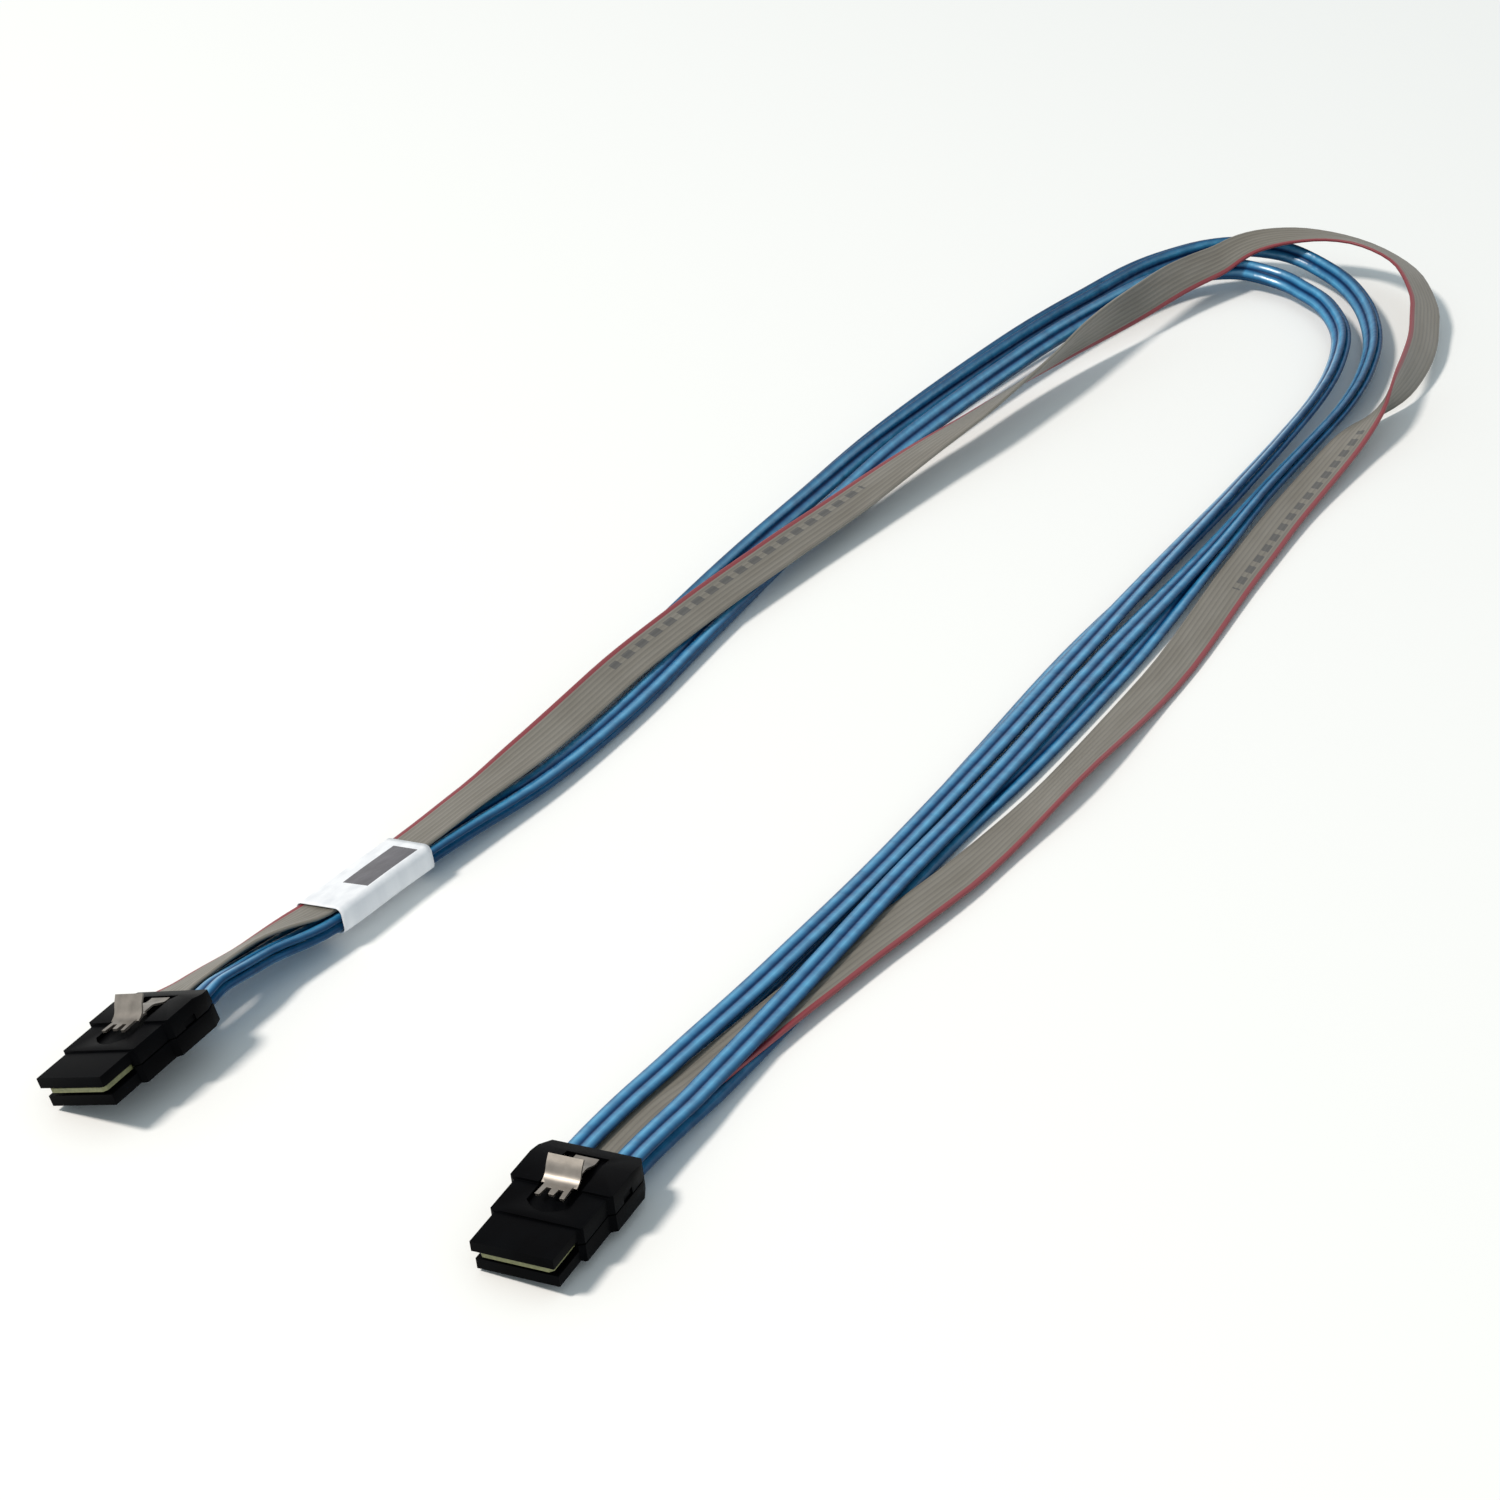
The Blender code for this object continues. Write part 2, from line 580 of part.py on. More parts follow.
new_object("label_sleeve", *label_sleeve(), WHITE)
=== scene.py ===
# %% [markdown]
# # A mini SAS cable
# This cable carries data inside a computer or server. Two black plugs, each with a sprung steel latch,
# are joined by four flat blue cables and one grey ribbon. The whole thing lies on a table in a long
# hairpin loop, with a white label sleeve near one plug.
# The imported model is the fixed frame: every piece below is made in its coordinates, in metres.

import math

import bmesh
import bpy
from mathutils import Matrix, Vector


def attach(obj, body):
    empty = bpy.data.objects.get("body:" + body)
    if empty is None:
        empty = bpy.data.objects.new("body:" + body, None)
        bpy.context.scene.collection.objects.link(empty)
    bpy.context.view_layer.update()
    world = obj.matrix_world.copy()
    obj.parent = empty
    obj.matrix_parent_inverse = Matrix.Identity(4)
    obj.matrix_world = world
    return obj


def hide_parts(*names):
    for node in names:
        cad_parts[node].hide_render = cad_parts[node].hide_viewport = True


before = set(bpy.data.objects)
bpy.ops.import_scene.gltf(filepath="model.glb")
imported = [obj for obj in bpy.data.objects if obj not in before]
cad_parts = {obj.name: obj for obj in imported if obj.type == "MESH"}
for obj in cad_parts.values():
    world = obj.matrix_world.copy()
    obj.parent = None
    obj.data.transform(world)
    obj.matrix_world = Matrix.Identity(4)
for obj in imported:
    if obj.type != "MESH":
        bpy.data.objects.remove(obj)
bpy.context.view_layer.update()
MM = 0.001

# %% [markdown]
# ## The camera
# The photo was taken from about 0.4 m above the table with a fairly long lens, looking down at 32 degrees.
# A camera with those values puts both plugs and the loop where the photo has them, so it is set first.

# %% Camera
CAMERA_PLACE = Vector((0.30409, -0.43956, 0.424))
CAMERA_HEADING = Vector((-0.4368, 0.8996, 0.0))
CAMERA_PITCH = math.radians(32.0)
FOCAL_PIXELS = 3400.0
FRAME_PIXELS = 1500.0


def add_camera():
    data = bpy.data.cameras.new("camera")
    data.sensor_width = 36.0
    data.lens = 36.0 * FOCAL_PIXELS / FRAME_PIXELS
    data.clip_start = 0.01
    camera = bpy.data.objects.new("camera", data)
    bpy.context.scene.collection.objects.link(camera)
    ahead = CAMERA_HEADING.normalized() * math.cos(CAMERA_PITCH) - Vector((0, 0, math.sin(CAMERA_PITCH)))
    camera.matrix_world = Matrix.Translation(CAMERA_PLACE) @ ahead.to_track_quat("-Z", "Y").to_matrix().to_4x4()
    bpy.context.scene.camera = camera
    return camera


camera = add_camera()
print("Camera lens, mm:", round(camera.data.lens, 1))

# %% [markdown]
# ## Colours and shader nodes
# Colours are written as sRGB hex values, as a colour picker gives them, and one function turns them into the
# linear values that Blender's shaders use. One more function adds a node, with its settings and its links.

# %% Colour and node helpers
def linear(hex_colour):
    values = [int(hex_colour[i : i + 2], 16) / 255 for i in (1, 3, 5)]
    return (*[v / 12.92 if v <= 0.04045 else ((v + 0.055) / 1.055) ** 2.4 for v in values], 1.0)


def add_node(material, kind, inputs=None, **settings):
    """Adds a node; an input may be a value, or another node's socket to link."""
    node = material.node_tree.nodes.new(kind)
    for key, value in settings.items():
        setattr(node, key, value)
    for key, value in (inputs or {}).items():
        if isinstance(value, bpy.types.NodeSocket):
            material.node_tree.links.new(value, node.inputs[key])
        else:
            node.inputs[key].default_value = value
    return node


def new_material(name, **shader_values):
    """A Principled material with its constant values set on the shader's own sockets."""
    material = bpy.data.materials.new(name)
    material.use_nodes = True
    shader = material.node_tree.nodes["Principled BSDF"]
    for key, value in shader_values.items():
        shader.inputs[key.replace("_", " ")].default_value = value
    return material, shader


def plug_in(material, socket, shader, name):
    material.node_tree.links.new(socket, shader.inputs[name])


def ramp(material, factor, stops, interpolation="LINEAR"):
    """A colour ramp from a list of place and hex colour."""
    node = add_node(material, "ShaderNodeValToRGB", {"Fac": factor})
    node.color_ramp.interpolation = interpolation
    points = node.color_ramp.elements
    while len(points) < len(stops):
        points.new(0.5)
    for point, (place, colour) in zip(points, stops):
        point.position = place
        point.color = linear(colour)
    return node.outputs["Color"]


def wear(piece, material):
    piece.data.materials.clear()
    piece.data.materials.append(material)


print("Linear value of mid grey:", round(linear("#808080")[0], 3))


# %% [markdown]
# ## The bundle's route
# A cable is a fixed length that lies under its own weight. The bundle has one middle line, given by 36 stations
# from the near plug round the loop to the far plug. Each strand then has its own lane beside that line:
# how far outward and up it lies and how it is tilted. The tables are those that the frame was built from.

# %% Route tables, in millimetres
ORIGIN = Vector((-51.3895, -14.3408, 0.0))
SPINE = [
    (-0.5, 0.3, 4.8), (-0.2, 8, 4.5), (0.7, 20, 4), (2.6, 38, 3.2), (6, 76, 2.7),
    (9, 125, 2.7), (13, 174, 2.7), (16, 228, 2.7), (20, 288, 2.8), (22, 325, 3.2),
    (24, 359, 3.6), (25, 386, 4), (23.5, 408, 4.3), (19, 429, 4.6), (10, 448, 5),
    (-1, 460, 5), (-14, 465, 5.5), (-27, 463, 6), (-38, 453, 6.5), (-47, 436, 7),
    (-54, 412, 7), (-60, 387, 7), (-65, 362, 6.5), (-70, 332, 6), (-75, 300, 5),
    (-78, 268, 4), (-80, 236, 3.4), (-81, 200, 2.8), (-81, 160, 2.8), (-83, 124, 3.2),
    (-87, 94, 3.8), (-90.7, 68, 4.2), (-93.4, 46, 4.7), (-97.4, 28, 5.8), (-100.4, 14, 7),
    (-101.2, 5.1, 7.65),
]
ROLL = [
    (0, 6.5), (3, 2), (4, 0), (28.5, 0), (29.5, -5), (30.5, -12), (32, -14), (33, -28),
    (34, -29), (35, -21.5),
]
INNER = [
    (0, -5, 0, 0, 3.1, 0), (2, -5, 0, 0, 3.1, 0), (3, -5.3, 0, 0, 3.1, -0.5),
    (4, -4.4, 0, 0, 3.1, -0.8), (5, -3.5, -0.6, 0, 1.9, -0.6), (6, -5, -0.6, 0, 1.9, -1.6),
    (7, -5.6, -0.5, 4, 1.9, -2.4), (8, -4.6, 0.45, 25, 1.9, -1), (9, -3.8, 0.2, 38, 1.9, 0),
    (11, -4.3, 0, 50, 1.9, 0), (13, -4.6, 0, 52, 1.9, 0), (14, -6.5, 0, 55, 1.9, 0),
    (15, -8.6, 0, 55, 1.9, 0), (16, -8.5, 0, 50, 1.9, 0), (18, -4.5, 0, 45, 1.9, 0),
    (20, -1.8, 0, 42, 1.9, 0), (23, -2.2, 0, 38, 1.9, 0), (25, -4, 0, 22, 1.9, 0),
    (27, -5, -0.2, 8, 1.9, 0), (28, -4.8, -0.4, 5, 1.9, 0), (29, -4.3, -0.4, 5, 1.9, 0),
    (30, -3.5, -0.1, 2, 1.9, 0), (30.6, -3.2, 0, 0, 1.9, 0), (31, -3.15, 0, 0, 1.9, 0),
    (32, -3.2, 0, 0, 1.9, 0), (33, -3.4, 0, 0, 1.9, 0), (33.6, -4.9, 0, 0, 1.9, 0),
    (34, -5.35, 0, 0, 1.9, 0), (35, -5.35, 0, 0, 1.9, 0),
]
OUTER = [
    (0, 6.15, 0, 0, 3.1, 0), (2, 6.1, 0, 0, 3.1, 0), (3, 5.4, 0, 0, 3.1, 0.8),
    (4, 4.2, 0, 0, 3.1, 1.2), (4.7, 3.7, -0.2, 0, 3.1, 0.9), (5.3, 3.6, -0.5, 0, 2.5, 1.2),
    (6, 4, -0.6, 0, 1.9, 3.4), (7, 4.4, -0.6, 0, 1.9, 4.8), (8, 3.7, 0, 20, 1.9, 1.6),
    (9, 3.2, 0.2, 38, 1.9, 0), (11, 4.3, 0, 50, 1.9, 0), (14, 4.6, 0, 55, 1.9, 0),
    (15.2, 5.6, 0.5, 58, 2.1, 0), (16.4, 6.7, 1.9, 61, 2.5, 0), (17.4, 6.9, 1.6, 64, 2.8, 0),
    (18.4, 6.4, 0.6, 67, 3.2, 0), (20, 5.4, 0, 70, 4, 0), (23, 5, 0, 62, 3.4, 0),
    (25, 4, 0.3, 45, 1.9, 0), (27, 4.3, 0.7, 38, 1.9, 0), (28, 4.2, 0.5, 32, 1.9, 0),
    (29, 3.8, 0.1, 20, 1.9, 0), (30, 3.1, 0, 8, 1.9, 0), (30.6, 3.05, 0, 2, 1.9, 0),
    (31, 3.05, 0, 0, 1.9, 0), (32, 3.1, 0, 0, 1.9, 0), (33, 2.9, -0.3, 0, 1.9, 0),
    (34, 3.3, -0.9, 0, 1.9, 0), (35, 3.5, -0.9, 0, 1.9, 0),
]
RIBBON = [
    (0, 1, 0, 0), (2, 0.8, 0, 0), (3, 2, 0, 0), (3.6, 3.6, 0, 0), (4.2, 6.8, -0.05, 0),
    (4.7, 11, -0.15, 0), (5, 13.2, -0.5, 0), (5.3, 14.2, -1, 5), (6, 16, -0.2, 20), (7, 17, -1.9, 0),
    (8, 13.2, -1.2, -4), (9, 12, -1, 0), (10, 12.6, 0.6, 8), (10.6, 13.4, 1.9, 32), (11.1, 14.6, 2.4, 75),
    (11.7, 16.5, 2.8, 115), (12.5, 17.9, 2.6, 138), (13.2, 19.2, 2.9, 149), (13.7, 20.8, 4, 151), (14.3, 21, 6, 153),
    (15, 17.4, 7.8, 160), (15.5, 12, 8.4, 171), (16, 6.3, 8.1, 185), (16.6, 1, 7, 196), (17.2, -3.2, 5.6, 204),
    (18, -7.6, 3.9, 212), (19, -10.2, 3.5, 226), (20, -11.8, 3.4, 248), (21, -12.6, 3.4, 277), (22, -13.3, 3.1, 307),
    (23, -13.3, 3, 332), (24, -12, 3.2, 352), (25, -9.6, 3.4, 368), (26, -6, 3.7, 375), (27, -1.3, 3.9, 375),
    (28, 2.4, 3.9, 374), (29, 1.8, 3.8, 366), (29.7, 0.8, 3.4, 357), (30.5, 0.3, 2.7, 360), (31, 0.2, 2.6, 360),
    (32, 0.7, 2.65, 360), (32.5, 1.8, 2.9, 353), (33, 2.7, 2.75, 350), (33.5, 3, 2.3, 354), (34.1, 3.1, 1.75, 359),
    (35, 3.1, 1.7, 360),
]
LAST_STATION = len(SPINE) - 1
print("Stations on the middle line:", len(SPINE))


# %% [markdown]
# ## Reading the route
# A Catmull-Rom curve runs smoothly through every station. The lanes use a curve that never overshoots its rows,
# so that neighbouring strands keep the clearance that the table gives them.

# %% Smooth curves
def smooth(points, t):
    """A point on the Catmull-Rom curve through the points, at station t."""
    i = min(max(int(math.floor(t)), 0), len(points) - 2)
    f = t - i
    p1 = Vector(points[i])
    p2 = Vector(points[i + 1])
    p0 = Vector(points[i - 1]) if i > 0 else p1 * 2 - p2
    p3 = Vector(points[i + 2]) if i + 2 < len(points) else p2 * 2 - p1
    return (p1 * 2 + (p2 - p0) * f + (p0 * 2 - p1 * 5 + p2 * 4 - p3) * f**2 + (p1 * 3 - p0 - p2 * 3 + p3) * f**3) / 2


def lane_slope(keys, k, column):
    if k <= 0 or k >= len(keys) - 1:
        return 0.0
    before = (keys[k][column] - keys[k - 1][column]) / (keys[k][0] - keys[k - 1][0])
    after = (keys[k + 1][column] - keys[k][column]) / (keys[k + 1][0] - keys[k][0])
    return 2 * before * after / (before + after) if before * after > 0 else 0.0


def lane(keys, t):
    """The values of a table at station t, with no overshoot between its rows."""
    i = 0
    while i < len(keys) - 2 and keys[i + 1][0] <= t:
        i += 1
    step = keys[i + 1][0] - keys[i][0]
    f = (t - keys[i][0]) / step
    return [
        (2 * f**3 - 3 * f**2 + 1) * keys[i][c]
        + (f**3 - 2 * f**2 + f) * step * lane_slope(keys, i, c)
        + (3 * f**2 - 2 * f**3) * keys[i + 1][c]
        + (f**3 - f**2) * step * lane_slope(keys, i + 1, c)
        for c in range(1, len(keys[0]))
    ]


# %% Sections of the bundle
def bundle_frame(t):
    """The bundle's middle and its outward, up and forward directions at station t, in millimetres."""
    middle = smooth(SPINE, t)
    ahead = smooth(SPINE, min(t + 0.001, LAST_STATION)) - smooth(SPINE, max(t - 0.001, 0.0))
    along = ahead.normalized()
    outward = Vector((along.y, -along.x, 0.0)).normalized()
    up = outward.cross(along)
    lean = math.radians(lane(ROLL, t)[0])
    return (
        middle,
        outward * math.cos(lean) + up * math.sin(lean),
        up * math.cos(lean) - outward * math.sin(lean),
        along,
    )


def turned(outward, up, tilt):
    turn = math.radians(tilt)
    return outward * math.cos(turn) + up * math.sin(turn), up * math.cos(turn) - outward * math.sin(turn)


def flat_section(keys, sign, t):
    """The middle, width direction and thickness direction of one flat of a pair; sign is 1 above, -1 below."""
    middle, outward, up, _ = bundle_frame(t)
    out, rise, tilt, spacing, slip = lane(keys, t)
    side, face = turned(outward, up, tilt)
    return middle + outward * out + up * rise + face * (sign * spacing / 2) - side * (sign * slip / 2), side, face


def ribbon_section(t):
    middle, outward, up, _ = bundle_frame(t)
    out, rise, tilt = lane(RIBBON, t)
    side, face = turned(outward, up, tilt)
    return middle + outward * out + up * rise, side, face


print("Lowest point of the middle line, mm:", min(point[2] for point in SPINE))

# %% [markdown]
# ## Sweeping a strand
# Each strand is one closed tube. A ring of vertices is made at the first section, and its edges are extruded
# from section to section, which is what a modeller does with a profile along a path. Two numbers are kept on
# every vertex, the distance along the strand and the place across it, so that a material can follow the cable
# however it bends.

# %% Strand builder
INSIDE_PLUG = 2.4
SECTIONS_PER_STATION = 6
strands = []


def sections(section):
    """Sections along the whole strand, with a straight piece inside each plug, in metres."""
    count = LAST_STATION * SECTIONS_PER_STATION
    found = []
    for i in range(count + 1):
        centre, side, face = section(i / SECTIONS_PER_STATION)
        found.append((centre - ORIGIN, side, face))
    start = bundle_frame(0.0)[3] * INSIDE_PLUG
    end = bundle_frame(LAST_STATION)[3] * INSIDE_PLUG
    first = (found[0][0] - start, found[0][1], found[0][2])
    last = (found[-1][0] + end, found[-1][1], found[-1][2])
    return [first, *found, last]


def sweep_strand(name, section, profile):
    """One closed tube along a strand, from a profile of points across and through it, in millimetres."""
    rows = sections(section)
    shape = bmesh.new()
    along_layer = shape.verts.layers.float.new("along")
    across_layer = shape.verts.layers.float.new("across")
    ring = bmesh.ops.create_circle(shape, segments=len(profile), radius=MM)["verts"]
    bmesh.ops.contextual_create(shape, geom=ring)
    first_cap = shape.faces[:]
    edges = shape.edges[:]
    travelled = 0.0
    before = rows[0][0]
    for number, (centre, side, face) in enumerate(rows):
        travelled += (centre - before).length * MM
        before = centre
        if number:
            grown = bmesh.ops.extrude_edge_only(shape, edges=edges)["geom"]
            fresh = [item for item in grown if isinstance(item, bmesh.types.BMVert)]
            followed = {}
            for vert in fresh:
                for edge in vert.link_edges:
                    other = edge.other_vert(vert)
                    if other in order:
                        followed[vert] = order[other]
            order = followed
            edges = [e for e in grown if isinstance(e, bmesh.types.BMEdge) and all(v in order for v in e.verts)]
        else:
            order = {vert: i for i, vert in enumerate(ring)}
        for vert, i in order.items():
            x, y = profile[i]
            vert.co = (centre + side * x + face * y) * MM
            vert[along_layer] = travelled
            vert[across_layer] = x * MM
    bmesh.ops.contextual_create(shape, geom=list(order))
    bmesh.ops.recalc_face_normals(shape, faces=shape.faces)
    for face in shape.faces:
        face.smooth = len(face.verts) == 4
    mesh = bpy.data.meshes.new(name)
    shape.to_mesh(mesh)
    shape.free()
    piece = bpy.data.objects.new(name, mesh)
    bpy.context.scene.collection.objects.link(piece)
    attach(piece, "cable")
    path = [tuple(centre * MM) for centre, _, _ in rows]
    length = sum((Vector(b) - Vector(a)).length for a, b in zip(path, path[1:]))
    print(name, "length, m:", round(length, 3))
    strands.append((piece, path, length))
    return piece, path, length


# %% [markdown]
# ## The blue flats
# Each flat is a twin-axial cable: two insulated cores side by side, wrapped in foil and a blue jacket that
# follows them. Its section has two round lobes with a shallow groove between them, 5.8 mm wide and 1.6 mm thick.

# %% Blue flats
FLAT_HEIGHT = 1.6
CORE_MIDDLE = 1.45
WEB_HALF = 0.5


def twin_profile():
    """Half the section from left to right over the top, then back under it."""
    stops = [-2.9, -2.82, -2.6, -2.2, -1.75, -1.3, -0.85, -0.45, -0.18, 0.0]
    stops += [-x for x in reversed(stops[:-1])]
    top = []
    for x in stops:
        reach = min(abs(abs(x) - CORE_MIDDLE) / CORE_MIDDLE, 1.0)
        height = FLAT_HEIGHT / 2 * math.sqrt(1 - reach**2.6)
        top.append((x, max(height, WEB_HALF) if abs(x) < CORE_MIDDLE else max(height, 0.02)))
    return top + [(x, -y) for x, y in reversed(top)]


flats = {}
for pair, keys in (("inner", INNER), ("outer", OUTER)):
    for level, sign in (("upper", 1.0), ("lower", -1.0)):
        node = pair + "_" + level + "_cable"
        piece, path, length = sweep_strand(node + "_jacket", lambda t: flat_section(keys, sign, t), twin_profile())
        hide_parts(node)
        flats[node] = piece

# %% [markdown]
# ## The grey ribbon
# The slow signals run in an ordinary flat ribbon: eight round conductors side by side at a pitch of 1.27 mm,
# moulded together in grey PVC, with the first one coloured red. Its section is a row of eight small humps.

# %% Grey ribbon
RIBBON_CORES = 8
RIBBON_PITCH = 1.27
RIBBON_HEIGHT = 0.9


def ribbon_profile():
    width = RIBBON_CORES * RIBBON_PITCH
    top = [(-width / 2, 0.06)]
    for core in range(RIBBON_CORES):
        middle = -width / 2 + RIBBON_PITCH * (core + 0.5)
        for shift in (-0.44, -0.2, 0.2, 0.44):
            height = RIBBON_HEIGHT / 2 * math.sqrt(1 - (abs(shift) / 0.66) ** 2.4)
            top.append((middle + shift * RIBBON_PITCH, height))
    top.append((width / 2, 0.06))
    return top + [(x, -y) for x, y in reversed(top)]


ribbon, ribbon_path, ribbon_length = sweep_strand("ribbon_jacket", ribbon_section, ribbon_profile())
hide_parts("ribbon")

# %% [markdown]
# ## The label sleeve
# A strip of white film is wrapped round the whole bundle and stuck to itself. It is a thin sleeve with soft
# corners. A plain grey field stands where the real label has its print.

# %% Label sleeve
LABEL_STATIONS = (30.6, 31.95)
LABEL_SPAN = (-6.5, 6.35)
LABEL_HEIGHT = (-2.2, 3.45)
LABEL_WALL = 0.3
LABEL_RINGS = 25


def rounded_rectangle(left, right, low, high, radius):
    points = []
    corners = ((right - radius, high - radius, 0), (left + radius, high - radius, 90), (left + radius, low + radius, 180), (right - radius, low + radius, 270))
    for x, y, start in corners:
        for step in range(5):
            angle = math.radians(start + step * 22.5)
            points.append((x + radius * math.cos(angle), y + radius * math.sin(angle)))
    return points


def label_section(t):
    middle, outward, up, _ = bundle_frame(t)
    return middle, outward, up


def make_label():
    """The film's outer face, swept ring by ring, then thickened inward by its wall."""
    grow = LABEL_WALL * 0.9
    profile = rounded_rectangle(
        LABEL_SPAN[0] - grow, LABEL_SPAN[1] + grow, LABEL_HEIGHT[0] - grow, LABEL_HEIGHT[1] + grow, 1.6
    )
    shape = bmesh.new()
    along_layer = shape.verts.layers.float.new("along")
    across_layer = shape.verts.layers.float.new("across")
    top_layer = shape.verts.layers.float.new("top")
    ring = bmesh.ops.create_circle(shape, segments=len(profile), radius=MM)["verts"]
    edges = shape.edges[:]
    order = {vert: i for i, vert in enumerate(ring)}
    travelled = 0.0
    before = None
    for number in range(LABEL_RINGS):
        t = LABEL_STATIONS[0] + (LABEL_STATIONS[1] - LABEL_STATIONS[0]) * number / (LABEL_RINGS - 1)
        middle, outward, up = label_section(t)
        if number:
            travelled += (middle - before).length * MM
            grown = bmesh.ops.extrude_edge_only(shape, edges=edges)["geom"]
            followed = {}
            for vert in (item for item in grown if isinstance(item, bmesh.types.BMVert)):
                for edge in vert.link_edges:
                    other = edge.other_vert(vert)
                    if other in order:
                        followed[vert] = order[other]
            order = followed
            edges = [e for e in grown if isinstance(e, bmesh.types.BMEdge) and all(v in order for v in e.verts)]
        before = middle
        for vert, i in order.items():
            x, y = profile[i]
            vert.co = (middle + outward * x + up * y - ORIGIN) * MM
            vert[along_layer] = travelled
            vert[across_layer] = x * MM
            vert[top_layer] = y * MM
    bmesh.ops.recalc_face_normals(shape, faces=shape.faces)
    bmesh.ops.solidify(shape, geom=shape.faces[:], thickness=LABEL_WALL * 0.7 * MM)
    for face in shape.faces:
        face.smooth = True
    mesh = bpy.data.meshes.new("label_film")
    shape.to_mesh(mesh)
    shape.free()
    piece = bpy.data.objects.new("label_film", mesh)
    bpy.context.scene.collection.objects.link(piece)
    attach(piece, "cable")
    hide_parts("label_sleeve")
    print("Label length, mm:", round(travelled / MM, 1))
    return piece


label = make_label()

# %% [markdown]
# ## Cable finishes
# The blue jacket is a thin polyester film, heat-sealed round foil and insulation. Its colour has a painted highlight
# along the top of each lobe and painted shade in the groove between its cores and at its edges. The film ripples a
# little every few millimetres, and the troughs of the ripples get painted shade.
# Its pattern reads the distances kept on the vertices, so it bends with the cable.

# %% Pattern helpers for strands
def strand_places(material):
    """The distance along and the place across a strand, in metres, as sockets."""
    along = add_node(material, "ShaderNodeAttribute", attribute_name="along")
    across = add_node(material, "ShaderNodeAttribute", attribute_name="across")
    return along.outputs["Fac"], across.outputs["Fac"]


def maths(material, operation, a, b=0.0, c=0.0):
    node = add_node(material, "ShaderNodeMath", {0: a, 1: b, 2: c}, operation=operation)
    return node.outputs["Value"]


def blend(material, kind, factor, a, b):
    node = add_node(material, "ShaderNodeMix", {0: factor, 6: a, 7: b}, data_type="RGBA", blend_type=kind)
    return node.outputs[2]


def band(material, value, low, high):
    """1 where a value lies between two limits, else 0."""
    above = maths(material, "GREATER_THAN", value, low)
    below = maths(material, "LESS_THAN", value, high)
    return maths(material, "MULTIPLY", above, below)


def stretched_noise(material, along, across, length, width, detail=3.0):
    """Noise whose grains are so many metres long and wide on the strand."""
    place = add_node(
        material,
        "ShaderNodeCombineXYZ",
        {"X": maths(material, "DIVIDE", along, length), "Y": maths(material, "DIVIDE", across, width)},
    )
    noise = add_node(material, "ShaderNodeTexNoise", {"Vector": place.outputs["Vector"], "Scale": 1.0, "Detail": detail})
    return noise.outputs["Fac"]


def add_bump(material, shader, height, distance, strength=1.0):
    bump = add_node(material, "ShaderNodeBump", {"Height": height, "Distance": distance, "Strength": strength})
    plug_in(material, bump.outputs["Normal"], shader, "Normal")


# %% Blue film
def blue_film():
    """Polyester film over foil, a little wavy: painted shade in its groove, at its edges and in its ripples'
    troughs, a painted highlight on each lobe.
    """
    material, shader = new_material("blue_polyester_film", Roughness=0.3, Coat_Roughness=0.22)
    along, across = strand_places(material)
    streaks = stretched_noise(material, along, across, 0.03, 0.0006)
    from_middle = maths(material, "MULTIPLY_ADD", streaks, 0.0003, maths(material, "ABSOLUTE", across))
    # Painted light across the flat: painted shade in the groove and at the edges, a painted highlight along the top
    # of each lobe.
    painted_lobe_light = [(0.0, "#06203f"), (0.13, "#0d3d6a"), (0.3, "#2879a9"), (0.54, "#4ea3ce"), (0.78, "#236f9c"), (1.0, "#092c52")]
    colour = ramp(material, maths(material, "MULTIPLY", from_middle, 1 / 0.0032), painted_lobe_light)
    ripple = stretched_noise(material, along, across, 0.004, 0.005, 2.0)
    # Painted shade: the film is darker where the ripple noise is low, in the troughs that the bump draws from the
    # same noise.
    painted_ripple_shade = ramp(material, ripple, [(0.3, "#c2ced8"), (0.7, "#ffffff")])
    plug_in(material, blend(material, "MULTIPLY", 1.0, colour, painted_ripple_shade), shader, "Base Color")
    shine = maths(material, "MULTIPLY", colour, 1.5)
    plug_in(material, shine, shader, "Specular IOR Level")
    plug_in(material, shine, shader, "Coat Weight")
    add_bump(material, shader, ripple, 0.0006, 0.6)
    return material


blue_material = blue_film()
for flat in flats.values():
    wear(flat, blue_material)
print("Blue flats finished:", len(flats))

# %% [markdown]
# The ribbon is extruded PVC, satin and slightly uneven. Its first core is red. Along the second and third cores
# the real one carries a line of small print; here it is a row of plain dashes.

# %% Ribbon PVC
PRINT_PLACES = ((0.282, 0.374), (0.722, 0.834))


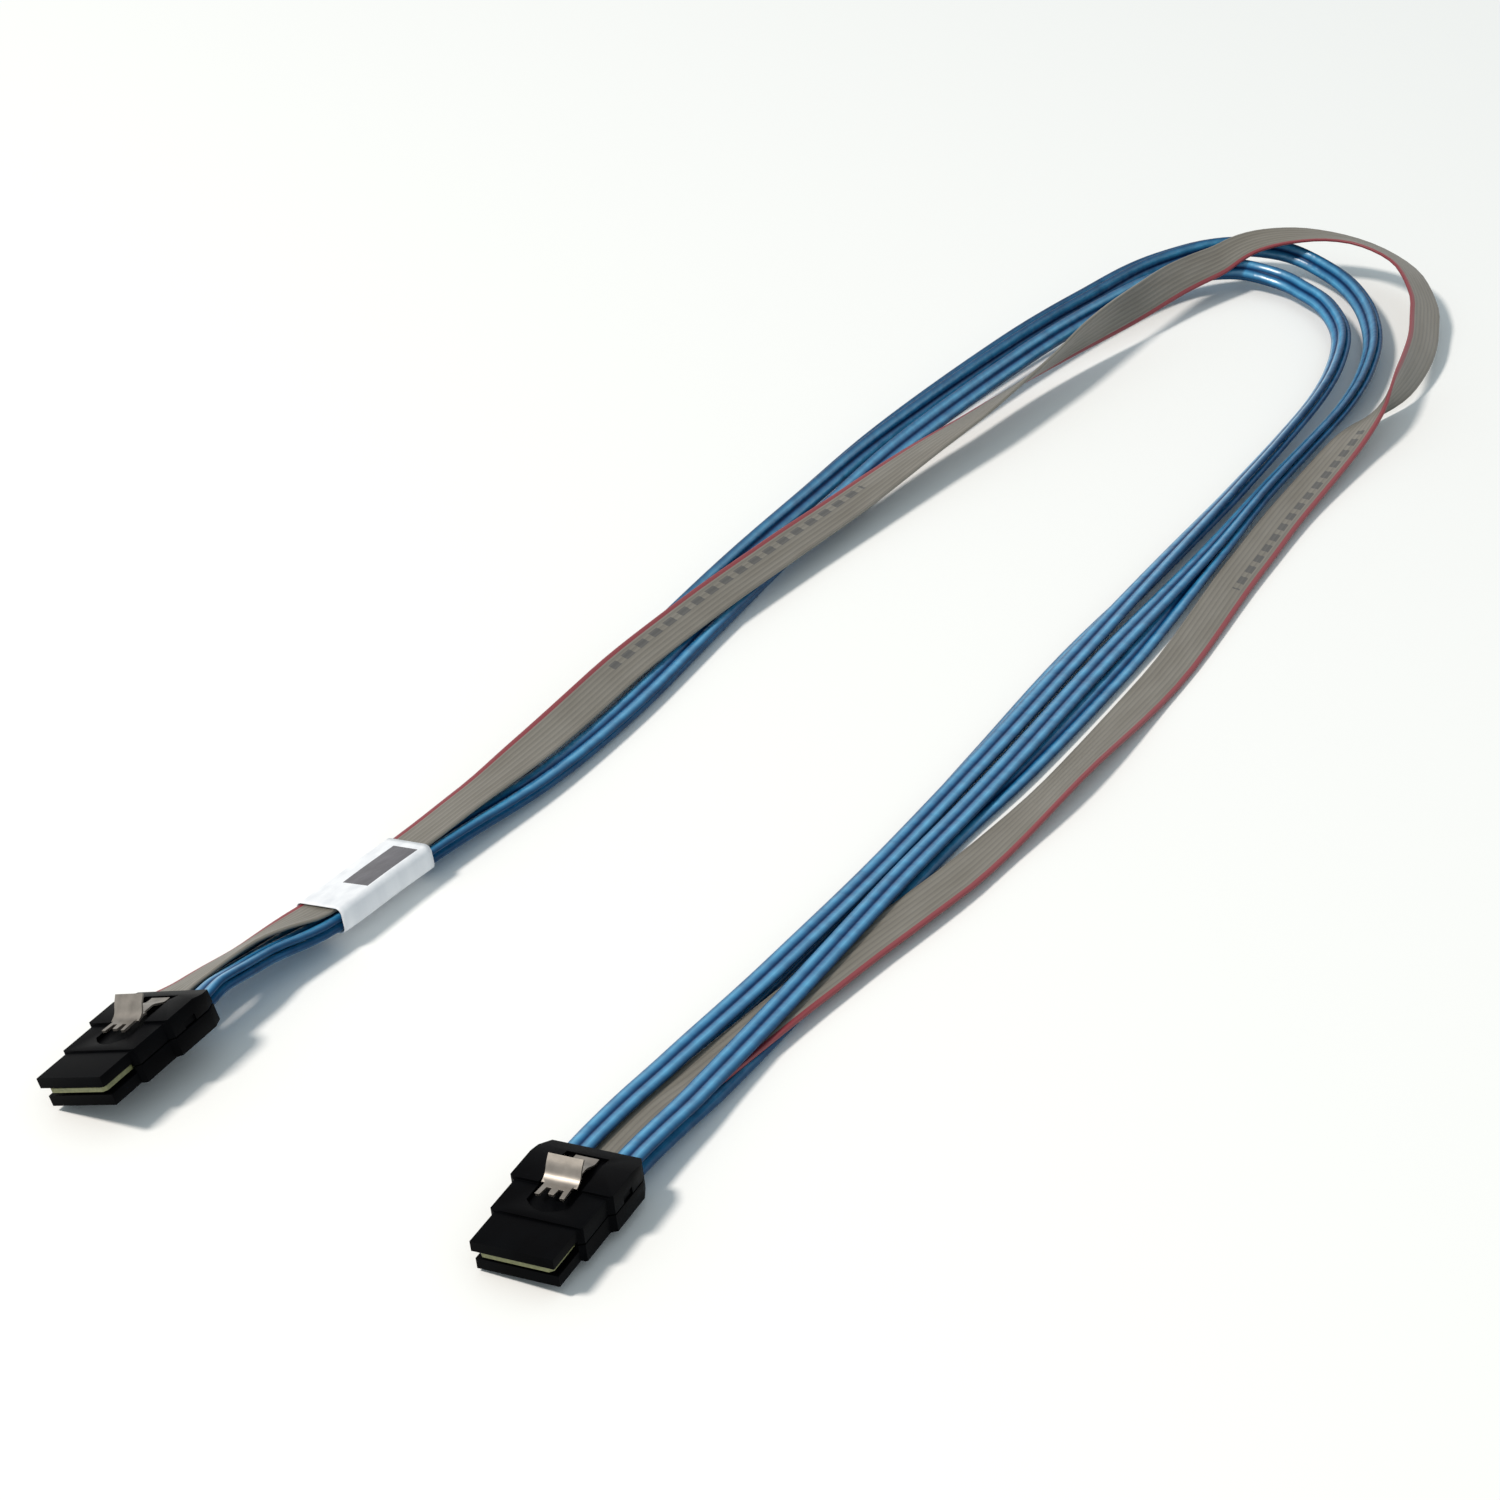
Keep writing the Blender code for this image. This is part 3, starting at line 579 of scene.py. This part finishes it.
def ribbon_pvc():
    """Grey PVC with a red first core, painted shade stripes along its cores and plain dashes."""
    material, shader = new_material("grey_ribbon_pvc", Roughness=0.46)
    along, across = strand_places(material)
    pitch = RIBBON_PITCH * MM
    from_core_middle = maths(material, "ABSOLUTE", maths(material, "SUBTRACT", maths(material, "FRACT", maths(material, "DIVIDE", across, pitch)), 0.5))
    # Painted shade: stripes darkest along the middle of each core and lightest where two cores meet.
    grey = ramp(material, from_core_middle, [(0.0, "#69665f"), (0.16, "#77736b"), (0.5, "#7f7b72")])
    patches = stretched_noise(material, along, across, 0.02, 0.004, 2.0)
    grey = blend(material, "MULTIPLY", 1.0, grey, ramp(material, patches, [(0.3, "#e6e4e0"), (0.7, "#ffffff")]))
    dash = maths(material, "LESS_THAN", maths(material, "FRACT", maths(material, "DIVIDE", along, 0.0062)), 0.6)
    group = maths(material, "ADD", band(material, along, *PRINT_PLACES[0]), band(material, along, *PRINT_PLACES[1]))
    row = band(material, across, 0.0006, 0.0026)
    mark = maths(material, "MULTIPLY", maths(material, "MULTIPLY", dash, group), row)
    marked = blend(material, "MIX", maths(material, "MULTIPLY", mark, 0.7), grey, linear("#33363a"))
    red = maths(material, "GREATER_THAN", across, RIBBON_PITCH * 3.0 * MM)
    colour = blend(material, "MIX", red, marked, linear("#7e2b33"))
    plug_in(material, colour, shader, "Base Color")
    add_bump(material, shader, patches, 0.0002, 0.4)
    return material


wear(ribbon, ribbon_pvc())
print("Ribbon width, mm:", RIBBON_CORES * RIBBON_PITCH)

# %% [markdown]
# The label is white polypropylene film with a faint sheen. The printed block is left as one plain field of
# grey, placed by the same two distances and by the height on the sleeve, so that only the top face has it.

# %% Label film
FIELD_ALONG = (0.0028, 0.0205)
FIELD_ACROSS = (-0.0054, 0.0016)


def label_film():
    """White film with one plain grey field on its upper face, both with painted shade in the hollows of the creases.
    """
    material, shader = new_material("white_label_film", Roughness=0.38)
    along, across = strand_places(material)
    top = add_node(material, "ShaderNodeAttribute", attribute_name="top").outputs["Fac"]
    upper = maths(material, "GREATER_THAN", top, (LABEL_HEIGHT[1] - 0.4) * MM)
    field = maths(material, "MULTIPLY", band(material, along, *FIELD_ALONG), band(material, across, *FIELD_ACROSS))
    field = maths(material, "MULTIPLY", field, upper)
    creases = stretched_noise(material, along, across, 0.006, 0.003, 3.0)
    # Painted shade: the film and its grey field are darker where the crease noise is low, in the hollows that the
    # bump draws from the same noise.
    white = ramp(material, creases, [(0.3, "#dfe2e8"), (0.65, "#f2f4f8")])
    grey = ramp(material, creases, [(0.3, "#4c4b50"), (0.7, "#5b5a60")])
    plug_in(material, blend(material, "MIX", field, white, grey), shader, "Base Color")
    add_bump(material, shader, creases, 0.0004, 0.5)
    return material


wear(label, label_film())

# %% [markdown]
# ## The plugs
# Each plug is an internal 36-position plug about 34 mm long. Its own directions are u from the rear face to the
# nose, v sideways and w up from its underside. One matrix takes them to the table, where each plug leans a little
# because its stiff cable holds it up on one edge.

# %% Plug places
BODY_HALF_WIDTH = 11.3


def plug_frame(rear, yaw, roll):
    """Takes a plug's own millimetres to metres on the table."""
    turn = Matrix.Rotation(math.radians(yaw), 4, "Z") @ Matrix.Rotation(math.radians(roll), 4, "X")
    lift = BODY_HALF_WIDTH * math.sin(math.radians(roll))
    return Matrix.Scale(MM, 4) @ Matrix.Translation(Vector((rear[0], rear[1], lift)) - ORIGIN) @ turn


PLUGS = {"near": plug_frame((0.0, 0.0), -90.0, 6.5), "far": plug_frame((-99.7, 4.7), -93.0, 21.5)}


def finish_piece(name, shape, body, *nodes):
    """Turns a bmesh in world metres into an object that rides on a body and may replace CAD nodes."""
    mesh = bpy.data.meshes.new(name)
    shape.to_mesh(mesh)
    shape.free()
    piece = bpy.data.objects.new(name, mesh)
    bpy.context.scene.collection.objects.link(piece)
    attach(piece, body)
    if nodes:
        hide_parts(*nodes)
    return piece


def soften(piece, width, segments=3, angle=30.0):
    """Rounds the edges of a moulded or stamped part; its flat faces keep their flat shading."""
    rounding = piece.modifiers.new("rounded_edges", "BEVEL")
    rounding.width = width * MM
    rounding.segments = segments
    rounding.limit_method = "ANGLE"
    rounding.angle_limit = math.radians(angle)
    rounding.harden_normals = True
    for face in piece.data.polygons:
        face.use_smooth = True


# %% [markdown]
# The two shells are glass-filled nylon or a similar black plastic from a mould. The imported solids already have
# their exact shape, so a merged copy is taken, its flat faces are joined, and shallow details are cut in that a
# mould would leave: snap windows in the sides and shallow recesses underneath. A bevel then rounds each edge.

# %% Shell builder
def merged_copy(node):
    shape = bmesh.new()
    shape.from_mesh(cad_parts[node].data)
    bmesh.ops.remove_doubles(shape, verts=shape.verts, dist=0.00001)
    bmesh.ops.dissolve_limit(shape, angle_limit=math.radians(0.5), verts=shape.verts, edges=shape.edges)
    return shape


def tool_block(place, u, v, w):
    """A block in a plug's own millimetres, used once as a cutter."""
    shape = bmesh.new()
    bmesh.ops.create_cube(shape, size=1.0)
    size = Matrix.Diagonal((u[1] - u[0], v[1] - v[0], w[1] - w[0], 1.0))
    middle = Matrix.Translation(((u[0] + u[1]) / 2, (v[0] + v[1]) / 2, (w[0] + w[1]) / 2))
    bmesh.ops.transform(shape, matrix=place @ middle @ size, verts=shape.verts)
    mesh = bpy.data.meshes.new("tool")
    shape.to_mesh(mesh)
    shape.free()
    tool = bpy.data.objects.new("tool", mesh)
    bpy.context.scene.collection.objects.link(tool)
    return tool


def carve(piece, tools, operation="DIFFERENCE"):
    """Cuts or joins tools with the exact solver, keeps the result as the piece's mesh and drops the tools."""
    for tool in tools:
        step = piece.modifiers.new("carve", "BOOLEAN")
        step.operation = operation
        step.solver = "EXACT"
        step.object = tool
    bpy.context.view_layer.update()
    carved = bpy.data.meshes.new_from_object(piece.evaluated_get(bpy.context.evaluated_depsgraph_get()))
    piece.modifiers.clear()
    piece.data = carved
    for tool in tools:
        bpy.data.objects.remove(tool, do_unlink=True)


def tidy_faces(piece):
    shape = bmesh.new()
    shape.from_mesh(piece.data)
    bmesh.ops.remove_doubles(shape, verts=shape.verts, dist=0.000001)
    bmesh.ops.dissolve_limit(shape, angle_limit=math.radians(0.5), verts=shape.verts, edges=shape.edges)
    shape.to_mesh(piece.data)
    shape.free()


# %% Upper and lower shells
shells = []
for side, place in PLUGS.items():
    upper = finish_piece(side + "_upper_cover", merged_copy(side + "_upper_shell"), "cable", side + "_upper_shell")
    windows = [tool_block(place, (7.0, 10.5), (sign * 10.9, sign * 12.0), (4.0, 5.6)) for sign in (-1, 1)]
    carve(upper, windows)
    lower = finish_piece(side + "_lower_cover", merged_copy(side + "_lower_shell"), "cable", side + "_lower_shell")
    feet = [tool_block(place, (5.0, 12.0), (-7.0, 7.0), (-0.5, 0.25)), tool_block(place, (17.0, 22.5), (-7.0, 7.0), (-0.5, 0.25))]
    carve(lower, feet)
    for piece in (upper, lower):
        tidy_faces(piece)
        soften(piece, 0.28)
        shells.append(piece)
print("Shell faces before rounding:", [len(piece.data.polygons) for piece in shells])

# %% [markdown]
# The plastic is spark-eroded in the mould, which gives it a fine satin grain. The grain is only a few hundredths
# of a millimetre, too fine to show here, so it is drawn at about 0.15 mm.

# %% Black plastic
def object_noise(material, size, detail=3.0, stretch=(1.0, 1.0, 1.0)):
    """Noise on Object coordinates whose grains are so many metres across."""
    place = add_node(material, "ShaderNodeTexCoord")
    mapping = add_node(material, "ShaderNodeMapping", {"Vector": place.outputs["Object"], "Scale": stretch})
    noise = add_node(
        material, "ShaderNodeTexNoise", {"Vector": mapping.outputs["Vector"], "Scale": 1.0 / size, "Detail": detail}
    )
    return noise.outputs["Fac"]


def black_plastic():
    material, shader = new_material("moulded_black_nylon", Specular_IOR_Level=0.02)
    cloud = object_noise(material, 0.006)
    grain = object_noise(material, 0.00015, 1.0)
    plug_in(material, ramp(material, cloud, [(0.3, "#030304"), (0.7, "#060709")]), shader, "Base Color")
    rough = add_node(material, "ShaderNodeMapRange", {"Value": cloud, "To Min": 0.38, "To Max": 0.5})
    plug_in(material, rough.outputs["Result"], shader, "Roughness")
    add_bump(material, shader, grain, 0.00003, 0.25)
    return material


black_material = black_plastic()
for piece in shells:
    wear(piece, black_material)

# %% [markdown]
# ## The latches
# The latch is one stamped strip of spring stainless steel. From a fixed end at the rear it rises out of the
# recess; a thumb tab is folded up and back from it, and a fork of three short prongs reaches forward to hook the
# receptacle. Strips of faces are extruded along bent lines, joined and given the sheet's thickness.

# %% Sheet-metal helpers
SHEET = 0.45
LATCH_W = 8.72


def bend(start, corner, end, radius, steps=5):
    """Points round a corner between two straight lines of u, w points."""
    a, b, c = Vector(start), Vector(corner), Vector(end)
    first = b + (a - b).normalized() * radius
    last = b + (c - b).normalized() * radius
    return [tuple(first.lerp(b, k / steps).lerp(b.lerp(last, k / steps), k / steps)) for k in range(steps + 1)]


def sheet_quads(line, thickness):
    """Four-sided faces, end to end, that draw the side of bent sheet whose middle follows the line."""
    upper, lower = [], []
    for i, point in enumerate(line):
        before, after = Vector(line[max(i - 1, 0)]), Vector(line[min(i + 1, len(line) - 1)])
        along = (after - before).normalized()
        across = Vector((-along.y, along.x)) * thickness / 2
        upper.append(Vector(point) + across)
        lower.append(Vector(point) - across)
    return [(upper[i], upper[i + 1], lower[i + 1], lower[i]) for i in range(len(line) - 1)]


def extruded(place, quads, push):
    """A closed solid: joined four-sided faces, extruded by a push, in a plug's own millimetres."""
    shape = bmesh.new()
    corners = {}
    for corner in [corner for quad in quads for corner in quad]:
        if corner not in corners:
            corners[corner] = shape.verts.new(corner)
    for quad in quads:
        bmesh.ops.contextual_create(shape, geom=[corners[corner] for corner in quad])
    grown = bmesh.ops.extrude_face_region(shape, geom=shape.faces[:])["geom"]
    bmesh.ops.translate(shape, vec=push, verts=[item for item in grown if isinstance(item, bmesh.types.BMVert)])
    bmesh.ops.transform(shape, matrix=place, verts=shape.verts)
    bmesh.ops.recalc_face_normals(shape, faces=shape.faces)
    return shape


def bent_sheet(place, line, half_width):
    quads = [tuple((p.x, -half_width, p.y) for p in quad) for quad in sheet_quads(line, SHEET)]
    return extruded(place, quads, (0.0, 2 * half_width, 0.0))


def as_tool(shape):
    mesh = bpy.data.meshes.new("tool")
    shape.to_mesh(mesh)
    shape.free()
    tool = bpy.data.objects.new("tool", mesh)
    bpy.context.scene.collection.objects.link(tool)
    return tool


# %% Latch
FORK_ROWS = [(11.6, 3.3), (14.2, 3.3), (15.2, 3.0), (16.2, 3.05)]
PRONGS = [((1.9, 3.05), (2.2, 3.2), 18.6), ((-0.8, 0.8), (-0.6, 0.6), 18.0), ((-3.05, -1.9), (-3.2, -2.2), 18.6)]


def fork_quads(height):
    """The plan of the fork: a root of five columns of faces, then three prongs."""
    quads = []
    for (u0, half0), (u1, half1) in zip(FORK_ROWS, FORK_ROWS[1:]):
        near, far = (-half0, -1.9, -0.8, 0.8, 1.9, half0), (-half1, -1.9, -0.8, 0.8, 1.9, half1)
        quads += [[(u0, near[i]), (u0, near[i + 1]), (u1, far[i + 1]), (u1, far[i])] for i in range(5)]
    for (a, b), (c, d), tip in PRONGS:
        quads.append([(16.2, a), (16.2, b), (tip, d), (tip, c)])
    return [tuple((u, v, height) for u, v in quad) for quad in quads]


latches = []
for side, place in PLUGS.items():
    base = [(3.6, 7.425)] + bend((3.6, 7.425), (5.4, 7.425), (8.4, LATCH_W), 0.7)
    base += bend((5.4, 7.425), (8.4, LATCH_W), (13.4, LATCH_W), 0.7) + [(13.2, LATCH_W)]
    latch = finish_piece(side + "_latch_spring", bent_sheet(place, base, 2.6), side + "_release", side + "_latch")
    fold = [(14.7, LATCH_W - 0.1)] + bend((14.7, LATCH_W - 0.1), (13.0, LATCH_W + 0.7), (12.0, 11.4), 1.0, 6)
    fold += bend((13.0, LATCH_W + 0.7), (12.0, 11.4), (10.75, 12.85), 0.7) + [(10.75, 12.85)]
    fork = extruded(place, fork_quads(LATCH_W - SHEET / 2 - 0.06), (0.0, 0.0, SHEET + 0.12))
    carve(latch, [as_tool(bent_sheet(place, fold, 3.9)), as_tool(fork)], "UNION")
    soften(latch, 0.07, 2, 40.0)
    latches.append(latch)
print("Latch faces:", [len(piece.data.polygons) for piece in latches])

# %% [markdown]
# Spring stainless steel comes from the rolling mill with fine lines along the strip. They stretch the highlight
# a little. A faint warm tint and small smudges keep it from looking like a mirror.

# %% Spring steel
def spring_steel():
    material, shader = new_material("rolled_stainless_steel", Metallic=1.0)
    lines = object_noise(material, 0.0002, 2.0, (1.0, 0.06, 1.0))
    smudge = object_noise(material, 0.003)
    plug_in(material, ramp(material, smudge, [(0.3, "#77736d"), (0.7, "#8e8982")]), shader, "Base Color")
    rough = add_node(material, "ShaderNodeMapRange", {"Value": lines, "To Min": 0.34, "To Max": 0.5})
    plug_in(material, rough.outputs["Result"], shader, "Roughness")
    add_bump(material, shader, lines, 0.00002, 0.4)
    return material


steel = spring_steel()
for latch in latches:
    wear(latch, steel)

# %% [markdown]
# ## Inside the nose
# Between the jaws lies the paddle card, a small circuit board whose edge slides into the receptacle. It keeps its
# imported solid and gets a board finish; 18 gold pads are added on each face at a pitch of 0.8 mm.

# %% Gold pads
PAD_PITCH = 0.8
PAD_COUNT = 18
CARD_FACE = 0.5
CARD_W = 4.0


def pad_rows(place):
    """All pads of one card, as small plated blocks that sit on both of its faces."""
    shape = bmesh.new()
    for face in (-1, 1):
        for number in range(PAD_COUNT):
            across = (number - (PAD_COUNT - 1) / 2) * PAD_PITCH
            reach = 32.7 if number % 3 else 33.0
            made = bmesh.ops.create_cube(shape, size=1.0)["verts"]
            size = Matrix.Diagonal((reach - 26.0, 0.5, 0.08, 1.0))
            middle = Matrix.Translation(((reach + 26.0) / 2, across, CARD_W + face * (CARD_FACE + 0.04)))
            bmesh.ops.transform(shape, matrix=place @ middle @ size, verts=made)
    return shape


def gold_plate():
    material, shader = new_material("gold_plated_copper", Metallic=1.0)
    tone = object_noise(material, 0.002)
    plug_in(material, ramp(material, tone, [(0.3, "#c8a85a"), (0.7, "#e2c67c")]), shader, "Base Color")
    rough = add_node(material, "ShaderNodeMapRange", {"Value": tone, "To Min": 0.22, "To Max": 0.38})
    plug_in(material, rough.outputs["Result"], shader, "Roughness")
    return material


gold = gold_plate()
for side, place in PLUGS.items():
    pads = finish_piece(side + "_gold_pads", pad_rows(place), "cable")
    wear(pads, gold)
print("Pads on each card:", 2 * PAD_COUNT)

# %% Board, mould and ground bars
def grained(name, dark, light, size, roughness, depth, **values):
    """A finish for small moulded or cut parts: two close tones, a varied roughness and a fine bump."""
    material, shader = new_material(name, **values)
    tone = object_noise(material, size)
    plug_in(material, ramp(material, tone, [(0.3, dark), (0.7, light)]), shader, "Base Color")
    rough = add_node(material, "ShaderNodeMapRange", {"Value": tone, "To Min": roughness[0], "To Max": roughness[1]})
    plug_in(material, rough.outputs["Result"], shader, "Roughness")
    add_bump(material, shader, tone, depth, 0.4)
    return material


board = grained("glass_epoxy_board", "#6a6c45", "#85875c", 0.0008, (0.4, 0.55), 0.00004)
mould = grained("hot_melt_mould", "#b9b29c", "#d2ccb8", 0.003, (0.4, 0.6), 0.0002, Transmission_Weight=0.0)
brass = grained("tinned_copper_bar", "#b79f6a", "#cdb987", 0.001, (0.3, 0.45), 0.00003, Metallic=1.0)
for side in PLUGS:
    wear(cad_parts[side + "_paddle_card"], board)
    wear(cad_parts[side + "_inner_mould"], mould)
    wear(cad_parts[side + "_upper_ground_bar"], brass)
    wear(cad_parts[side + "_lower_ground_bar"], brass)

# %% [markdown]
# ## Table and light
# The photo is a product shot on a white sweep. One soft lamp stands high at the front left, so the shadows fall
# to the right of each piece and a little away from the camera, and a pale sky fills them.

# %% Table
TABLE_REACH = 6.0


def white_table():
    material, shader = new_material("white_table", Roughness=0.9, Specular_IOR_Level=0.0)
    shader.inputs["Base Color"].default_value = linear("#fdfdfc")
    return material


shape = bmesh.new()
bmesh.ops.create_grid(shape, x_segments=1, y_segments=1, size=TABLE_REACH)
bmesh.ops.translate(shape, vec=(0.0, 0.0, -0.0002), verts=shape.verts)
table_mesh = bpy.data.meshes.new("table")
shape.to_mesh(table_mesh)
shape.free()
table = bpy.data.objects.new("table", table_mesh)
bpy.context.scene.collection.objects.link(table)
wear(table, white_table())

# %% Lamp and sky
LAMP_FROM = Vector((-0.78, -0.9, 1.54))
LAMP_DISTANCE = 3.4
AIM = Vector((0.0, 0.22, 0.0))


def add_lamp(name, direction, distance, size, power, colour):
    data = bpy.data.lights.new(name, "AREA")
    data.shape = "DISK"
    data.size = size
    data.energy = power
    data.color = linear(colour)[:3]
    lamp = bpy.data.objects.new(name, data)
    bpy.context.scene.collection.objects.link(lamp)
    away = direction.normalized()
    lamp.matrix_world = Matrix.Translation(AIM + away * distance) @ away.to_track_quat("Z", "Y").to_matrix().to_4x4()
    return lamp


add_lamp("key_lamp", LAMP_FROM, LAMP_DISTANCE, 0.6, 90.0, "#fff7ee")


def pale_sky(strength, seen):
    """A pale sky that lights the scene; camera, glossy and transmission rays see plain white."""
    world = bpy.data.worlds.new("pale_sky")
    world.use_nodes = True
    tree = world.node_tree
    light = tree.nodes["Background"]
    light.inputs["Color"].default_value = linear("#deecf2")
    light.inputs["Strength"].default_value = strength
    white = tree.nodes.new("ShaderNodeBackground")
    white.inputs["Color"].default_value = (1.0, 1.0, 1.0, 1.0)
    white.inputs["Strength"].default_value = seen
    rays = tree.nodes.new("ShaderNodeLightPath")
    direct = tree.nodes.new("ShaderNodeMath")
    direct.operation = "MAXIMUM"
    tree.links.new(rays.outputs["Is Camera Ray"], direct.inputs[0])
    tree.links.new(rays.outputs["Is Glossy Ray"], direct.inputs[1])
    seen_through = tree.nodes.new("ShaderNodeMath")
    seen_through.operation = "MAXIMUM"
    tree.links.new(direct.outputs["Value"], seen_through.inputs[0])
    tree.links.new(rays.outputs["Is Transmission Ray"], seen_through.inputs[1])
    mix = tree.nodes.new("ShaderNodeMixShader")
    tree.links.new(seen_through.outputs["Value"], mix.inputs["Fac"])
    tree.links.new(light.outputs["Background"], mix.inputs[1])
    tree.links.new(white.outputs["Background"], mix.inputs[2])
    tree.links.new(mix.outputs["Shader"], tree.nodes["World Output"].inputs["Surface"])
    bpy.context.scene.world = world


pale_sky(0.54, 1.0)
bpy.context.scene.view_settings.view_transform = "Standard"
